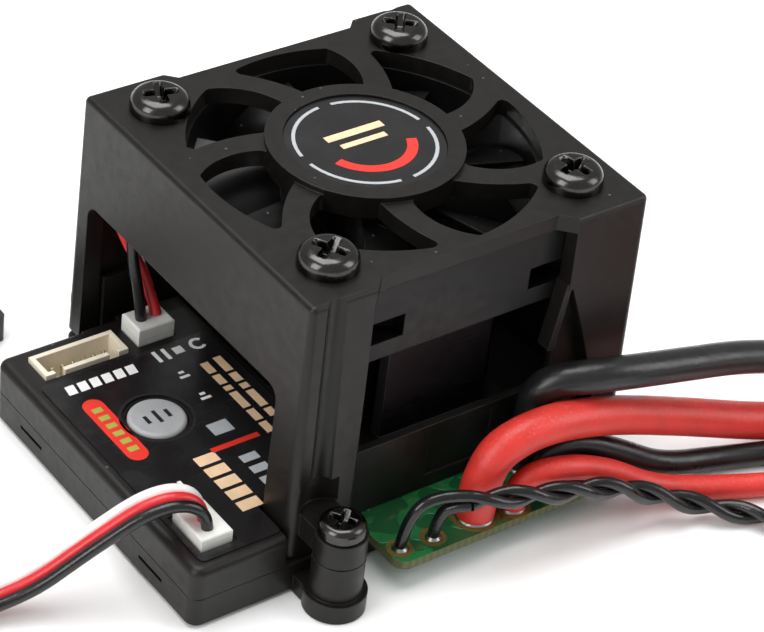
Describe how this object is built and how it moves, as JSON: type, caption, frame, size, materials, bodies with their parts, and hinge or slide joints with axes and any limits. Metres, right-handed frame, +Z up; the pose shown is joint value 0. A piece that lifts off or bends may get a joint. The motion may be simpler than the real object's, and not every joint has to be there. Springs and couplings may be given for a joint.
{
  "type": "electronic speed controller",
  "caption": "Boxy motor speed controller: finned heat sink under a fan in a moulded shroud, connector shelf with a setup button, and battery, capacitor, switch and receiver leads.",
  "frame": {"origin": "middle of the case's footprint on its flat base, leads left aside", "axes": "+Z up from the base; the connector shelf is at -X, the battery, capacitor and switch leads leave at -Y"},
  "size_m": [0.1046, 0.0993, 0.029],
  "materials": {
    "case_plastic": "satin moulded black",
    "fan_plastic": "satin moulded black",
    "black_anodised": "black anodised",
    "screw_steel": "dark nickel plated",
    "board_green": "solder mask over glass cloth",
    "solder": "bright tin",
    "chip_black": "moulded epoxy",
    "ceramic": "fired ceramic",
    "thermal_grey": "soft silicone pad",
    "silicone_red": "satin silicone",
    "silicone_black": "satin silicone",
    "wire_white": "satin jacket",
    "wire_red": "satin jacket",
    "wire_black": "satin jacket",
    "nylon_white": "natural nylon",
    "nylon_ivory": "ivory nylon",
    "pin_metal": "tin plated",
    "button_grey": "printed grey",
    "label_black": "printed film",
    "steel": "ground",
    "bronze": "sintered",
    "magnet": "bonded ferrite",
    "copper": "enamelled copper",
    "can_aluminium": "drawn",
    "sleeve_film": "shrunk film",
    "plug_plastic": "moulded nylon",
    "servo_plastic": "moulded",
    "gold": "gold plated"
  },
  "bodies": {
    "case": {"lower_case": "case_plastic", "upper_case": "case_plastic", "fan_shroud": "case_plastic", "hub_label": "label_black", "main_board": "board_green", "power_mosfets": "chip_black", "thermal_pad": "thermal_grey", "heat_sink": "black_anodised", "microcontroller": "chip_black", "voltage_regulator": "chip_black", "filter_inductor": "magnet", "ceramic_capacitors": "ceramic", "motor_solder_pads": "solder", "power_solder": "solder", "sensor_socket": "nylon_ivory", "sensor_pins": "pin_metal", "receiver_socket": "nylon_white", "receiver_plug": "nylon_white", "fan_socket": "nylon_white", "fan_plug": "nylon_white", "tact_switch": "steel", "top_label": "label_black", "fan_frame": "fan_plastic", "fan_bearing": "bronze", "fan_circuit_board": "board_green", "fan_stator": "steel", "stator_coils": "copper", "fan_screws": "screw_steel", "ear_screws": "screw_steel", "fan_lead_red": "wire_red", "fan_lead_black": "wire_black", "battery_lead_red": "silicone_red", "battery_lead_black": "silicone_black", "capacitor_lead_red": "silicone_red", "capacitor_lead_black": "silicone_black", "switch_lead": "wire_black", "switch_tails": "wire_black", "receiver_lead_white": "wire_white", "receiver_lead_red": "wire_red", "receiver_lead_black": "wire_black", "battery_plug": "plug_plastic", "battery_plug_blades": "gold", "capacitor_bung": "silicone_black", "power_capacitor": "can_aluminium", "capacitor_sleeve": "sleeve_film", "switch_housing": "servo_plastic", "switch_base": "servo_plastic", "switch_contacts": "pin_metal", "servo_plug": "servo_plastic", "servo_contacts": "gold"},
    "rotor": {"fan_rotor": "fan_plastic", "rotor_yoke": "steel", "rotor_magnet": "magnet", "fan_shaft": "steel"},
    "button": {"setup_button": "button_grey", "switch_plunger": "chip_black"},
    "slider": {"switch_slider": "nylon_white"}
  },
  "joints": [
    {"name": "fan_spin", "type": "hinge", "parent": "case", "child": "rotor", "pos_m": [0.00444, 0, 0.0222], "axis": [0, 0, 1], "continuous": true},
    {"name": "button_press", "type": "slide", "parent": "case", "child": "button", "axis": [0, 0, -1], "range_m": [0, 0.00025], "stiffness_N_per_m": 2000},
    {"name": "power_slide", "type": "slide", "parent": "case", "child": "slider", "axis": [1, 0, 0], "range_m": [0, 0.003]}
  ]
}
